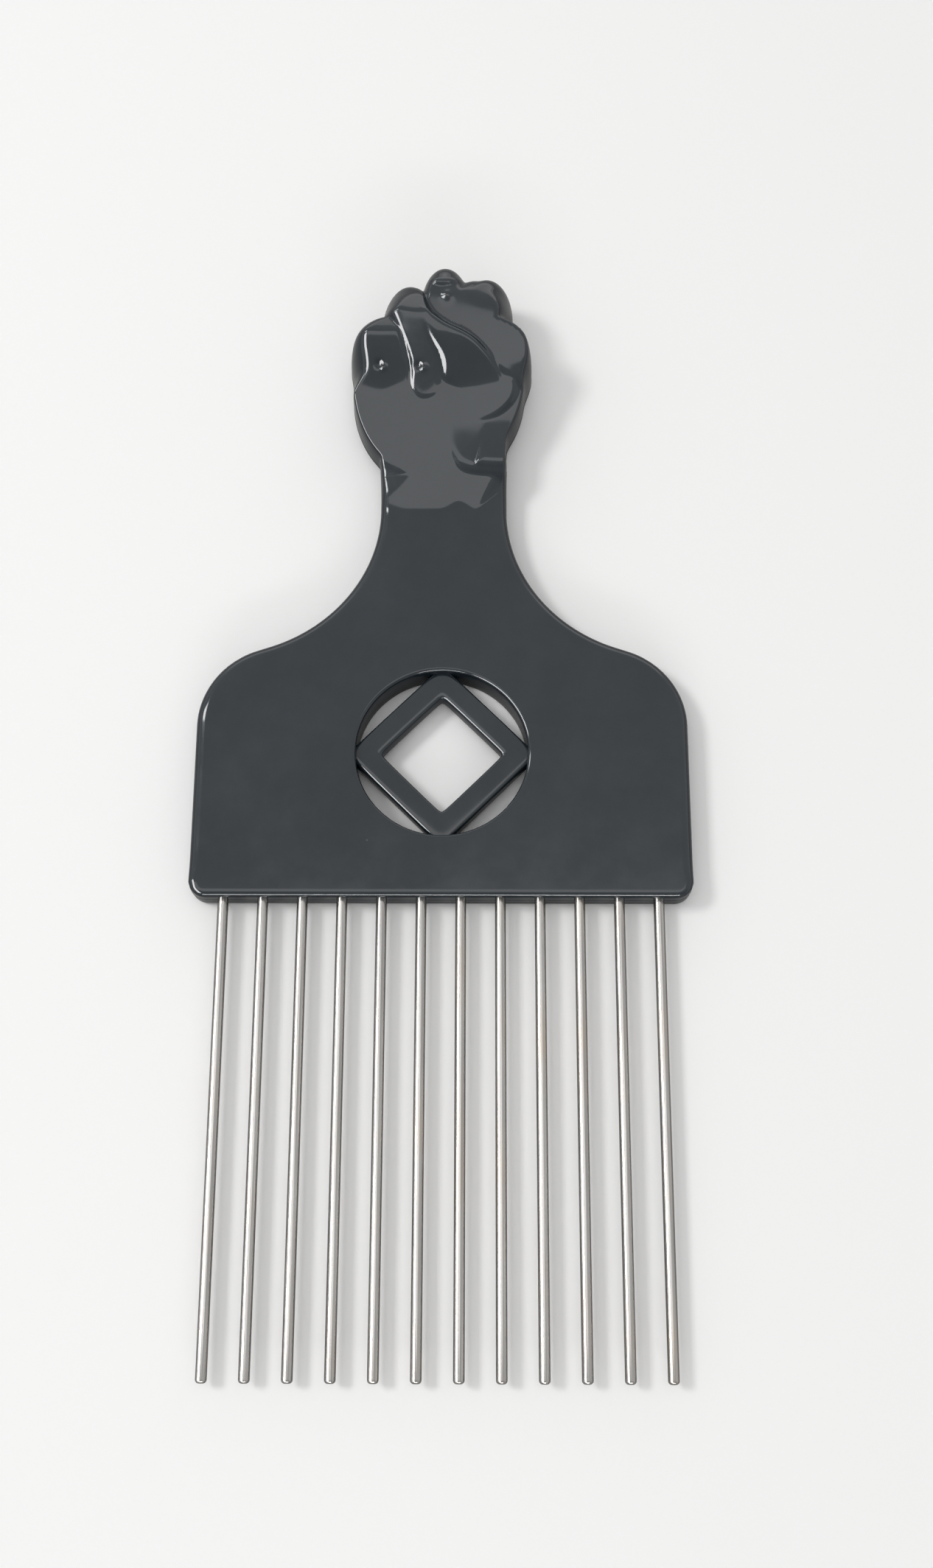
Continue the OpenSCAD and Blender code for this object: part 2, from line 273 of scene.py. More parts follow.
# %% Rings round the window
first = int(np.argmin(np.abs(row_y - blocks[0])))
mid = half_n
lo, hi = mid - block_n, mid + block_n
index = np.arange(rows_x.size).reshape(rows_x.shape)
square = np.concatenate([
    index[first, lo:hi], index[first:first + 2 * block_n, hi],
    index[first + 2 * block_n, hi:lo:-1], index[first + 2 * block_n:first:-1, lo]])
sq = np.stack([rows_x.ravel()[square], rows_y.ravel()[square]], axis=1) - [0, window_y]
way = sq / np.linalg.norm(sq, axis=1)[:, None]
steps = np.array([1.9, 1.3, 0.9, 0.65, 0.5, 0.42, 0.32, 0.22, 0.13, 0.06, 0.015, 0])
rings = (window_r + steps[:, None])[:, :, None] * way[None]
half_way = 0.5 * (sq + rings[0])
rings = np.concatenate([half_way[None], rings]) + [0, window_y]
ring_in = np.concatenate([np.linalg.norm(half_way, axis=1)[None] - window_r,
                          np.repeat(steps[:, None], len(square), axis=1)])
print("rays:", fan_n, "points round the window:", len(square))


# %% [markdown]
# ## Faces of the grid
# Neighbouring points make quads. The cells of the block are left out, and its border is stitched to
# the first ring. The same faces serve the front and, turned round, the back.


# %% Faces of the flat grid
def quads(grid, closed=False):
    """Quads between each row of an index grid and the next, also across the seam if it is closed."""
    a = np.concatenate([grid, grid[:, :1]], axis=1) if closed else grid
    return np.stack([a[:-1, :-1], a[:-1, 1:], a[1:, 1:], a[1:, :-1]], axis=-1).reshape(-1, 4)


keep = np.ones((len(row_y) - 1, 2 * half_n), bool)
keep[first:first + 2 * block_n, lo:hi] = False
row_faces = quads(index)[keep.ravel()]
fan_index = rows_x.size + np.arange(fan_x.size).reshape(fan_x.shape)
last = index[-1]
spokes = np.concatenate([last[:mid][::-1][None], fan_index, last[mid + 1:][None]])
fan_faces = quads(spokes)[:, ::-1]
pole_faces = np.stack([np.full(fan_n, last[mid]), spokes[1:, 0], spokes[:-1, 0]], axis=1)
ring_index = rows_x.size + fan_x.size + np.arange(ring_in.size).reshape(ring_in.shape)
ring_faces = quads(np.concatenate([square[None], ring_index]), closed=True)
flat_x = np.concatenate([rows_x.ravel(), fan_x.ravel(), rings[..., 0].ravel()])
flat_y = np.concatenate([rows_y.ravel(), fan_y.ravel(), rings[..., 1].ravel()])
edge_in = np.concatenate([rows_in.ravel(), fan_in.ravel(), np.full(ring_in.size, far_in)])
rim_in = np.concatenate([np.full(rows_x.size + fan_x.size, far_in), ring_in.ravel()])
border = np.concatenate([
    index[0, :-1], index[:-1, -1], last[-1:], fan_index[::-1, -1], index[:0:-1, 0]])
print("points of the flat grid:", len(flat_x), "points of its border:", len(border))

# %% [markdown]
# ## Relief of the hand
# The hand is built up as a sculptor lays on clay: pads, each with its own outline, a sloping top and
# an edge that rolls over. At every point the highest pad wins, with a soft corner where two meet, so
# the creases come by themselves. An outline that runs under a neighbour lets that pad end in a fold.

# %% Outlines of the fingers, across and up
little_line = [[-15, 72], [-10, 71], [-5.4, 72], [-5, 76], [-5.2, 80.2], [-5.7, 82.2], [-6.3, 84.4],
               [-7.2, 86.5], [-8.1, 88.7], [-10, 93], [-16, 92], [-16.5, 80]]
ring_line = [[-8.5, 88.5], [-7.4, 86.2], [-6.4, 84.3], [-5.5, 82], [-4.8, 79.8], [-5.1, 77.4],
             [-4.6, 75.8], [-3.2, 75], [-1.2, 75.5], [0.8, 77.2], [2, 80], [1, 83], [-1.4, 86],
             [-2.6, 88.5], [-3, 91], [-3.2, 98], [-7, 99], [-10.2, 93]]
middle_line = [[-3.7, 99], [-3.7, 94.4], [-2.6, 92.6], [0, 91.8], [2.4, 92.6], [3.3, 94.4], [3.6, 99]]
index_line = [[-5, 88.6], [-2.2, 86.4], [0, 85], [2, 84.2], [3.9, 83.2], [5.4, 81.7], [6.8, 79.8],
              [8.4, 78.2], [10.2, 77.3], [11.5, 76], [11.6, 74], [10.8, 72], [14, 70], [18, 80], [15, 95],
              [8, 99], [3.4, 98], [0, 96], [-5, 94.5]]
fold_line = [[-4.4, 90], [-4.5, 87.4], [-4.1, 85], [-3.4, 83.3], [-2.4, 81.8], [-1.6, 80.6],
             [-1.4, 79.6], [-1.5, 78.4], [-1, 77], [0.8, 75.6], [4.4, 73], [16, 73], [16, 93], [-4, 93]]
thumb_line = [[-6.4, 88.6], [-6.4, 84], [-4, 80], [-4, 76], [0, 73], [4.4, 74], [8.4, 75], [9.8, 76.6],
              [8.9, 79], [7.6, 80.9], [6, 82.6], [4.2, 84.1], [2.3, 85.1], [0.4, 85.9], [-1.4, 87.2],
              [-2.6, 88.2]]
finger_lines = [little_line, ring_line, middle_line, index_line, fold_line, thumb_line]
print("outlines of the fingers, with points:", [len(line) for line in finger_lines])

# %% Outlines on the palm, and small dents left by the mould
thenar_line = [[-6, 82], [-6, 75], [-3, 71.6], [1, 70.8], [5.2, 71.4], [8.2, 72.4], [10.4, 74.6],
               [11.2, 77.5], [9, 81], [3, 83]]
wrist_line = [[0.2, 72], [0.2, 69], [0.6, 66.8], [1.7, 65.1], [3.5, 64.2], [6, 63.9], [14, 63.9],
              [14, 76], [7, 78], [3, 78], [0.2, 76]]
tendon_line = [[4.4, 76], [4.1, 71], [3.8, 68], [3.6, 66], [3.5, 64.9], [4.4, 64.1], [7, 63.8],
               [10, 63.8], [16, 63.8], [16, 78], [8, 78]]
# Across, up, radius and depth; a negative depth is a bump
dents = [[-9.7, 80.1, 0.5, 0.42], [-9.0, 79.5, 0.4, -0.25], [-3.8, 79.8, 0.45, 0.42],
         [-3.0, 79.3, 0.4, -0.25], [0.4, 90.5, 0.75, -0.36]]
print("small dents and bumps:", len(dents))


# %% One pad
# Where a pad's edge stops being a circle, the depth share reached there, and its slope from there on
straight_from, straight_start, straight_slope = 0.85, 0.473, 1.61


def inset(x, y, line, rounds=3):
    """Distance in from a closed line, negative outside. The line's corners are cut first: each side
    gives way to the points at its quarter and three quarters, three times over. The distance is the
    least to any side, and a point is inside if a ray to its right crosses an odd number of sides."""
    a = np.array(line, float)
    for _ in range(rounds):
        b = np.roll(a, -1, axis=0)
        a = np.stack([0.75 * a + 0.25 * b, 0.25 * a + 0.75 * b], axis=1).reshape(-1, 2)
    ex, ey = (np.roll(a, -1, axis=0) - a).T
    dx, dy = x[:, None] - a[:, 0], y[:, None] - a[:, 1]
    along = np.clip((dx * ex + dy * ey) / (ex * ex + ey * ey), 0, 1)
    distance = np.sqrt(((dx - along * ex) ** 2 + (dy - along * ey) ** 2).min(1))
    crossed = ((dy < 0) != (dy < ey)) & (dx < dy * ex / np.where(ey == 0, 1, ey))
    return np.where(crossed.sum(1) % 2 == 1, distance, -distance)


def pad(x, y, line, top, r, depth):
    """Top minus depth * (1 - sqrt(1 - q * q)), a quarter circle of radius r at the edge, where q is
    1 - inset / r. Beyond a set q the side goes on straight, so that it's never upright."""
    q = np.clip(1 - inset(x, y, line) / r, 0, None)
    curve = 1 - np.sqrt(1 - np.minimum(q, straight_from) ** 2)
    straight = straight_start + straight_slope * (q - straight_from)
    return top - depth * np.where(q < straight_from, curve, straight)


def soft_min(values, k):
    """Smallest of several arrays with a rounded corner: the soft maximum turned over."""
    return -soft_max([-v for v in values], k)


def bump(x, centre, width):
    """Bell curve of height 1: exp(-((x - centre) / width)**2)."""
    return np.exp(-(((x - centre) / width) ** 2))


middle_in = inset(np.zeros(1), np.full(1, 95.0), middle_line)[0]
print("at x = 0 and y = 95 the middle finger's edge is", round(float(middle_in), 2), "mm away")


# %% The palm: a ramp out of the neck, the ball of the thumb, and the wrist with its tendon
def palm_height(x, y):
    """Highest of the ramp, the ball of the thumb and the wrist, which has the tendon's pad joined to
    it. The ramp rises 0.215 per mm from a foot line that swings, and has a flat pit at the left, which
    rises 0.24 per mm to the right and faster above y = 64."""
    foot = 58.6 + 1.2 * bump(x, 2.2, 1.6) * (1 - ease((y - 61) / 5)) + ease((-x - 5.5) / 4)
    ramp = slab_t + 0.215 * (y - foot)
    fall = ramp - 0.35 * (x - 4.6 - (y - 58.6) / 1.93)
    pit_side = soft_max([0 * x, x + 9 + 2.1 * np.maximum(y - 64, 0)], 0.25)
    pit = slab_t + 0.15 + 0.03 * (y - 60) + 0.24 * pit_side
    wrist = soft_min([7.25 + 0.12 * (y - 68), 7.4 + 0.2 * (y - 68) + 0.1 * (x - 2.5)], 0.1)
    tendon = pad(x, y, tendon_line, 7.55 + 0.05 * (y - 68), 2.5, 2.5)
    return soft_max([
        soft_min([ramp, fall, pit], 0.1),
        pad(x, y, thenar_line, 8.0 + 0.25 * (y - 73.5) + 0.1 * (x - 2), 1.1, 0.8),
        pad(x, y, wrist_line, soft_max([wrist, tendon], 0.08), 1.6, 0.85),
    ], 0.1)


palm_z = palm_height(np.zeros(1), np.full(1, 70.0))[0]
print("at x = 0 and y = 70 the palm stands at", round(float(palm_z), 2), "mm")


# %% The fingers: each front slopes down to the palm, each knuckle slopes the other way
def hand_front(x, y):
    """Soft maximum of the slab's face, the palm, a core behind the fingers, four fingers and the
    thumb. The top of a finger is the lowest of its slopes, such as its front and its knuckle."""
    bow = 0.02 * np.minimum(x + 9, 0) ** 2 + 0.008 * np.maximum(x + 9, 0) ** 2
    little = soft_min([9.25 + 0.455 * (y - 77.7) - bow, 12.3 - 0.32 * (y - 84.8)], 0.2)
    bow = 0.04 * np.minimum(x + 3.2, 0) ** 2 + 0.06 * np.maximum(x + 3.2, 0) ** 2
    bow = bow + 0.1 * np.maximum(-3.4 - x, 0) * ease((80.6 - y) / 1.6)
    ring = soft_min([9.34 + 0.42 * (y - 77) - bow, 13.3 - 0.34 * (y - 88)], 0.2)
    middle = 13.2 - 0.34 * (y - 92)
    index = soft_min([12.2 + 0.1 * (x - 4) + 0.23 * (y - 88),
                      12.9 - 0.32 * (y - 90.2) - 0.07 * (x - 4), 10.9 + 0.5 * (y - 80)], 0.3)
    thumb = soft_min([12.5 + 0.05 * (x - 3) + 0.55 * (y - 83.2), 13.3 + 0.2 * (y - 85.7)], 0.3)
    folded = pad(x, y, fold_line, thumb, 2.5, 2.5)
    thumb = soft_min([pad(x, y, thumb_line, thumb, 1.3, 1.6), folded], 0.05)
    core = soft_min([9.2 + 0.44 * (y - 78.2), 11.6 - 0.32 * (y - 87)], 0.3)
    core = core - 0.35 * np.maximum(x + 3, 0)
    fist = soft_max([
        palm_height(x, y), core,
        pad(x, y, little_line, little, 0.8, 0.8), pad(x, y, ring_line, ring, 0.6, 0.6),
        pad(x, y, middle_line, middle, 1.0, 1.2), pad(x, y, index_line, index, 1.2, 1.7)], 0.15)
    for dent_x, dent_y, r, deep in dents:
        fist = fist - deep * bump(np.hypot(x - dent_x, y - dent_y), 0, r)
    return soft_max([slab_t + 0 * x, soft_max([fist, thumb], 0.12)], 0.1)


hand_z = hand_front(np.zeros(1), np.full(1, 84.0))[0]
print("at x = 0 and y = 84 the hand stands at", round(float(hand_z), 2), "mm")


# %% The back of the hand: valleys between the knuckles that fade towards the wrist
def hand_back(x, y):
    """Height of the back: 0.4 mm, plus bell-shaped valleys on lines that draw together downwards."""
    spread = 0.5 + 0.5 * ease((y - 62) / 26)
    low = 0.4 * hand_share(y)
    for line_x in (-7.0, -2.6, 2.9):
        low = low + 0.45 * bump(x, line_x * spread, 1.5) * ease((y - 64) / 12)
        low = low + 0.9 * bump(x, line_x * 1.04, 0.6) * ease((y - 87) / 6)
    return low


valley_z = hand_back(np.full(1, -2.7), np.full(1, 94.0))[0]
print("at x = -2.7 and y = 94 a valley of the back is", round(float(valley_z), 2), "mm deep")

# %% Heights of the front and the back
# Radii of the window's rim, and how far the hand's edge rolls down, as a share of the way to the parting
rim_front_r, rim_back_r, roll_down_share = 0.5, 0.3, 0.94
up = hand_share(flat_y)
front_top = np.full(flat_x.shape, slab_t)
high = flat_y > hand_low
front_top[high] = hand_front(flat_x[high], flat_y[high])
# The front edge rolls over by 0.8 mm at the slab's foot, 1.6 mm above it, 0.35 mm beside the palm,
# and more and more towards the knuckles, up to 5 mm
front_r = 0.8 + 0.8 * ease(flat_y / 6)
flank_r = 1.7 * ease(-flat_x / 6)
hand_r = 0.35 + (0.8 + flank_r) * ease((flat_y - 76) / 4) + (3.85 - flank_r) * ease((flat_y - 84) / 7)
roll_r = front_r + (hand_r - front_r) * up
drop = front_r + (roll_down_share * (front_top - parting) - front_r) * up
front_z = front_top - drop * (1 - rolled(edge_in, roll_r))
front_z = front_z - rim_front_r * (1 - rolled(rim_in, rim_front_r))
back_z = hand_back(flat_x, flat_y) + (1 + 0.9 * up) * (1 - rolled(edge_in, 1 + up))
back_z = back_z + rim_back_r * (1 - rolled(rim_in, rim_back_r))
print("front from", round(front_z.min(), 2), "to", round(front_z.max(), 2), "mm")

# %% [markdown]
# ## The moulding as one closed skin
# The front grid, the back grid and a wall between their borders close the skin. A mould opens in two
# halves, and where they meet the plastic keeps a fine raised line, so the wall carries one.


# %% Close the skin
def wall_levels(loop, low, high_z, shares, bulge):
    """Rings of points between two borders: a share of the way up, moved by a bulge along the outward
    normal, which is the border's direction turned by a quarter."""
    x, y = flat_x[loop], flat_y[loop]
    tx, ty = np.roll(x, -1) - np.roll(x, 1), np.roll(y, -1) - np.roll(y, 1)
    size = np.hypot(tx, ty)
    rise = low + (high_z - low) * shares[:, None]
    return np.stack([x + bulge[:, None] * ty / size, y - bulge[:, None] * tx / size, rise], axis=-1)


n_flat = len(flat_x)
wall_share = np.array([0.2, 0.40, 0.46, 0.5, 0.54, 0.60, 0.8])
wall_bulge = np.array([0, 0, 0.02, 0.04, 0.02, 0, 0])
outer = wall_levels(border, back_z[border], front_z[border], wall_share, wall_bulge)
rim = ring_index[-1]
inner = wall_levels(rim, back_z[rim], front_z[rim], np.array([0.25, 0.5, 0.75]), np.zeros(3))
outer_index = 2 * n_flat + np.arange(outer[..., 0].size).reshape(outer.shape[:2])
inner_index = 2 * n_flat + outer_index.size + np.arange(inner[..., 0].size).reshape(inner.shape[:2])
front_faces = [row_faces, fan_faces, pole_faces, ring_faces]
back_faces = [f[:, ::-1] + n_flat for f in front_faces]
outer_faces = quads(np.concatenate([border[None] + n_flat, outer_index, border[None]]), closed=True)
inner_faces = quads(np.concatenate([rim[None] + n_flat, inner_index, rim[None]]), closed=True)[:, ::-1]
skin = np.concatenate([
    np.stack([flat_x, flat_y, front_z], axis=1), np.stack([flat_x, flat_y, back_z], axis=1),
    outer.reshape(-1, 3), inner.reshape(-1, 3)])
skin_faces = [*front_faces, *back_faces, outer_faces, inner_faces]
used = np.unique(np.concatenate([f.ravel() for f in skin_faces]))
renumber = np.zeros(len(skin), int)
renumber[used] = np.arange(len(used))
skin_faces = [renumber[f] for f in skin_faces]
print("skin: points", len(used), "faces", sum(len(f) for f in skin_faces))

# %% [markdown]
# ## Web in the window
# A plain diamond of four bars spans the window, set a little below the front face. A rounded
# rectangle is carried round a diamond whose corners are eased, so the ring closes on itself. Carried
# this way round its faces would look inwards, so their corners are listed backwards.

# %% The diamond of bars
bar_w, bar_t, bar_drop, bar_sink = 3.4, 2.8, 1.2, 1.0
bar_points, ring_points, box_power, soft = 36, 200, 0.35, 0.035


def eased_abs(v):
    """Size of a number with its corner at nothing eased: sqrt(v * v + soft * soft)."""
    return np.sqrt(v**2 + soft**2)


turn = np.linspace(0, 2 * np.pi, bar_points, endpoint=False)
box_x, box_z = [np.sign(v) * np.abs(v) ** box_power for v in (np.cos(turn), np.sin(turn))]
round_about = np.linspace(0, 2 * np.pi, ring_points, endpoint=False)
diamond = 1 / (eased_abs(np.cos(round_about)) + eased_abs(np.sin(round_about)))
half_bar = bar_w * math.sqrt(0.5)
reach_out = (window_r + bar_sink - half_bar + half_bar * box_x[None]) * diamond[:, None] * (1 + soft)
web = np.stack([
    reach_out * np.cos(round_about)[:, None], window_y + reach_out * np.sin(round_about)[:, None],
    np.broadcast_to(slab_t - bar_drop - bar_t / 2 + bar_t / 2 * box_z, reach_out.shape)], axis=-1)
web_index = len(used) + np.arange(web[..., 0].size).reshape(web.shape[:2])
web_faces = quads(np.concatenate([web_index, web_index[:1]]), closed=True)[:, ::-1]
handle = make_piece("handle_moulding", np.concatenate([skin[used], web.reshape(-1, 3)]),
                    [*skin_faces, web_faces], "handle_plastic", "handle")
print("web reaches", round(float(reach_out.max()), 2), "mm from the window's centre")

# %% [markdown]
# ## Wires
# Each tine is a length of straightened steel wire. Its root has two rolled grooves that the plastic
# grips, and its tip is rounded so that it doesn't scratch. A lathe profile turned about the wire's
# axis is all it takes: the rings are closed at both ends by a point on the axis.

# %% Turn the wire's profile
tip_r, root_edge, groove_w, groove_deep = 0.5, 0.1, 1.0, 0.25
shank_n, tip_n, around_n = 9, 9, 40
wire_r = wire_d / 2
bend = np.linspace(0, np.pi / 2, tip_n)
# A groove's section, from one lip to the other: along the wire as a share of its width, and its depth
groove = np.array([[-0.5, 0], [-0.44, -0.8], [-0.36, -1], [0.36, -1], [0.44, -0.8], [0.5, 0]])
groove_from = wire_r + groove_deep * groove[:, 1]
grooves = [
    np.stack([groove_from, wire_in * (1 - i / 3) + groove_w * groove[:, 0][::-1]], 1) for i in (1, 2)]
profile = np.concatenate([
    [[wire_r - root_edge, wire_in], [wire_r, wire_in - root_edge]], *grooves,
    np.stack([np.full(shank_n, wire_r), np.linspace(0, -wire_out + tip_r, shank_n + 1)[:-1]], 1),
    np.stack([wire_r - tip_r + tip_r * np.cos(bend), -wire_out + tip_r - tip_r * np.sin(bend)], 1)])
around = np.linspace(0, 2 * np.pi, around_n, endpoint=False)
ring_of = np.arange(profile[:, 0].size * around.size).reshape(-1, around.size)
wire_faces = quads(ring_of, closed=True)
poles = ring_of.size + np.arange(2)
root_cap = np.stack([np.full(around_n, poles[0]), np.roll(ring_of[0], -1), ring_of[0]], 1)
tip_cap = np.stack([np.full(around_n, poles[1]), ring_of[-1], np.roll(ring_of[-1], -1)], 1)
tines = sorted(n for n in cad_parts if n.startswith("tine_"))
for i, node in enumerate(tines):
    axis_x = (i - (len(tines) - 1) / 2) * wire_pitch
    r, y = profile[:, :1], profile[:, 1:]
    rings_3d = np.stack([axis_x + r * np.cos(around), y + 0 * around, parting + r * np.sin(around)], -1)
    ends = [[axis_x, wire_in, parting], [axis_x, -wire_out, parting]]
    make_piece(f"wire_{i + 1:02d}", np.concatenate([rings_3d.reshape(-1, 3), ends]),
               [wire_faces, root_cap, tip_cap], "tine_steel", node)
print("wires:", len(tines), "each of", len(wire_faces) + 2 * around_n, "faces")

# %% [markdown]
# ## Finishes
# Gloss plastic and drawn wire are both smooth from afar, and both have a life close by: a faint
# ripple in the skin, and small changes of gloss from handling. One node group gives that to both.


# %% Helpers for materials
def add_node(tree, kind, at=(0, 0), **settings):
    """A node with some of its settings; keys that start with in_ set the default of that input."""
    node = tree.nodes.new(kind)
    node.location = at
    for key, value in settings.items():
        if key.startswith("in_"):
            node.inputs[key[3:].replace("_", " ")].default_value = value
        else:
            setattr(node, key, value)
    return node


def join(tree, source, output, target, entry):
    """A link from a named output to a named or numbered input."""
    tree.links.new(source.outputs[output], target.inputs[entry])


print("materials so far:", len(bpy.data.materials))

# %% Group: ripple and handling marks
marks = bpy.data.node_groups.new("ripple_and_handling", "ShaderNodeTree")
marks.interface.new_socket("Vector", in_out="INPUT", socket_type="NodeSocketVector")
for socket, start in (("Ripple Scale", 500.0), ("Mark Scale", 120.0)):
    scale_socket = marks.interface.new_socket(socket, in_out="INPUT", socket_type="NodeSocketFloat")
    scale_socket.default_value = start
for socket in ("Ripple", "Marks"):
    marks.interface.new_socket(socket, in_out="OUTPUT", socket_type="NodeSocketFloat")
entry = add_node(marks, "NodeGroupInput", (-600, 0))
leave = add_node(marks, "NodeGroupOutput", (400, 0))
ripple = add_node(marks, "ShaderNodeTexNoise", (-300, 150), in_Detail=1.0, in_Roughness=0.4)
spots = add_node(marks, "ShaderNodeTexNoise", (-300, -150), in_Detail=6.0, in_Roughness=0.65)
spread = add_node(marks, "ShaderNodeMapRange", (0, -150), in_From_Min=0.4, in_From_Max=0.68)
join(marks, entry, "Vector", ripple, "Vector")
join(marks, entry, "Vector", spots, "Vector")
join(marks, entry, "Ripple Scale", ripple, "Scale")
join(marks, entry, "Mark Scale", spots, "Scale")
join(marks, ripple, "Fac", leave, "Ripple")
join(marks, spots, "Fac", spread, "Value")
join(marks, spread, "Result", leave, "Marks")


def finish_base(name, stretch, ripple_scale, mark_scale):
    """A material with its shader, object coordinates stretched by a mapping, and the marks group."""
    material = bpy.data.materials.new(name)
    material.use_nodes = True
    tree = material.node_tree
    shader = tree.nodes["Principled BSDF"]
    place = add_node(tree, "ShaderNodeTexCoord", (-1200, 0))
    scale = add_node(tree, "ShaderNodeMapping", (-1000, 0), in_Scale=stretch)
    group = add_node(tree, "ShaderNodeGroup", (-780, 0), node_tree=marks)
    group.inputs["Ripple Scale"].default_value = ripple_scale
    group.inputs["Mark Scale"].default_value = mark_scale
    join(tree, place, "Object", scale, "Vector")
    join(tree, scale, "Vector", group, "Vector")
    return material, tree, shader, place, group


print("group", marks.name, "has", len(marks.nodes), "nodes")

# %% [markdown]
# ### Gloss black plastic
# The handle is black plastic, most likely styrene, with a polished mould's gloss. It is seen mostly by
# what it mirrors, so the base colour stays very dark, and the interest is in the roughness: soft
# cloudy patches from handling, a ripple of a few millimetres, and some specks of dust.

# %% Plastic
plastic, tree, shader, place, group = finish_base("gloss_black_plastic", (1, 1, 1), 260.0, 90.0)
shader.inputs["IOR"].default_value = 1.5
tone = add_node(tree, "ShaderNodeMix", (-400, 300), data_type="RGBA")
tone.inputs["A"].default_value = (0.0095, 0.0155, 0.0210, 1)
tone.inputs["B"].default_value = (0.0150, 0.0215, 0.0275, 1)
gloss = add_node(tree, "ShaderNodeMapRange", (-400, 0), in_To_Min=0.07, in_To_Max=0.14)
dust = add_node(tree, "ShaderNodeTexVoronoi", (-780, -300), in_Scale=420.0)
specks = add_node(tree, "ShaderNodeMapRange", (-580, -300), in_From_Min=0.05, in_From_Max=0.1,
                  in_To_Min=1.0, in_To_Max=0.0)
chance = add_node(tree, "ShaderNodeMath", (-580, -520), operation="GREATER_THAN")
chance.inputs[1].default_value = 0.86
few = add_node(tree, "ShaderNodeMath", (-400, -400), operation="MULTIPLY")
dusty = add_node(tree, "ShaderNodeMix", (-200, 300), data_type="RGBA")
dusty.inputs["B"].default_value = (0.09, 0.09, 0.088, 1)
ripples = add_node(tree, "ShaderNodeBump", (-200, -150), in_Strength=1.0, in_Distance=0.000012)
join(tree, group, "Marks", tone, "Factor")
join(tree, group, "Marks", gloss, "Value")
join(tree, place, "Object", dust, "Vector")
join(tree, dust, "Distance", specks, "Value")
join(tree, dust, "Color", chance, 0)
join(tree, specks, "Result", few, 0)
join(tree, chance, "Value", few, 1)
join(tree, few, "Value", dusty, "Factor")
join(tree, tone, "Result", dusty, "A")
join(tree, dusty, "Result", shader, "Base Color")
join(tree, gloss, "Result", shader, "Roughness")
join(tree, group, "Ripple", ripples, "Height")
join(tree, ripples, "Normal", shader, "Normal")
print("made", plastic.name, "with", len(tree.nodes), "nodes")

# %% [markdown]
# ### Drawn steel wire
# Wire is pulled through a die, which leaves fine lines along it. The coordinates are stretched along
# the wire, so that the same noise turns into streaks, and a slow noise warms the colour in places.

# %% Steel
steel, tree, shader, place, group = finish_base("drawn_steel_wire", (1, 0.012, 1), 5200.0, 3000.0)
shader.inputs["Metallic"].default_value = 1.0
streak = add_node(tree, "ShaderNodeMix", (-400, 300), data_type="RGBA")
streak.inputs["A"].default_value = (0.29, 0.28, 0.27, 1)
streak.inputs["B"].default_value = (0.42, 0.41, 0.39, 1)
slow = add_node(tree, "ShaderNodeTexNoise", (-780, 300), in_Scale=70.0, in_Detail=3.0)
warm = add_node(tree, "ShaderNodeMapRange", (-580, 480), in_From_Min=0.5, in_From_Max=0.75,
                in_To_Max=0.6)
tint = add_node(tree, "ShaderNodeMix", (-200, 300), data_type="RGBA")
tint.inputs["B"].default_value = (0.36, 0.31, 0.26, 1)
gloss = add_node(tree, "ShaderNodeMapRange", (-400, 0), in_To_Min=0.17, in_To_Max=0.3)
lines = add_node(tree, "ShaderNodeBump", (-200, -150), in_Strength=1.0, in_Distance=0.0000015)
join(tree, group, "Marks", streak, "Factor")
join(tree, place, "Object", slow, "Vector")
join(tree, slow, "Fac", warm, "Value")
join(tree, warm, "Result", tint, "Factor")
join(tree, streak, "Result", tint, "A")
join(tree, tint, "Result", shader, "Base Color")
join(tree, group, "Marks", gloss, "Value")
join(tree, gloss, "Result", shader, "Roughness")
join(tree, group, "Ripple", lines, "Height")
join(tree, lines, "Normal", shader, "Normal")
print("made", steel.name, "with", len(tree.nodes), "nodes")

# %% Give each piece its finish
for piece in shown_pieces():
    piece.data.materials.clear()
    piece.data.materials.append(plastic if piece == handle else steel)

# %% [markdown]
# ## Floor and light
# The pick lies on a pale, plain floor. Black gloss and bright metal only read by reflections, so two
# soft panels, one overhead and a dim one far behind, are there to be mirrored. A smaller lamp on the
# left casts the shadows and a low strip in front lightens them, and no reflection shows either. Cards
# are the reverse, as only reflections see them: a grey one shades the finger fronts, and small bright
# ones give the glints.

# %% Floor
floor_mesh = bpy.data.meshes.new("floor")
floor_mesh.from_pydata([(-3, -3, 0), (3, -3, 0), (3, 3, 0), (-3, 3, 0)], [], [(0, 1, 2, 3)])
floor = bpy.data.objects.new("floor", floor_mesh)
bpy.context.scene.collection.objects.link(floor)
pale = bpy.data.materials.new("pale_floor")
pale.use_nodes = True
tree = pale.node_tree
shader = tree.nodes["Principled BSDF"]
shader.inputs["Roughness"].default_value = 0.9
shader.inputs["Specular IOR Level"].default_value = 0.1
path = add_node(tree, "ShaderNodeLightPath", (-600, 0))
# Painted shade: reflections see the floor darker (0.44) than the light it sends on (0.78), which darkens
# the slab's lower wall and the wires' sides.
shaded_in_mirrors = add_node(tree, "ShaderNodeMix", (-400, 0), data_type="RGBA")
shaded_in_mirrors.inputs["A"].default_value = (0.78, 0.775, 0.765, 1)
shaded_in_mirrors.inputs["B"].default_value = (0.44, 0.43, 0.42, 1)
seen = add_node(tree, "ShaderNodeMix", (-200, 0), data_type="RGBA")
seen.inputs["B"].default_value = (0.97, 0.968, 0.962, 1)
join(tree, path, "Is Glossy Ray", shaded_in_mirrors, "Factor")
join(tree, shaded_in_mirrors, "Result", seen, "A")
join(tree, path, "Is Camera Ray", seen, "Factor")
join(tree, seen, "Result", shader, "Base Color")
floor_mesh.materials.append(pale)
print("made", floor.name, "of", pale.name)

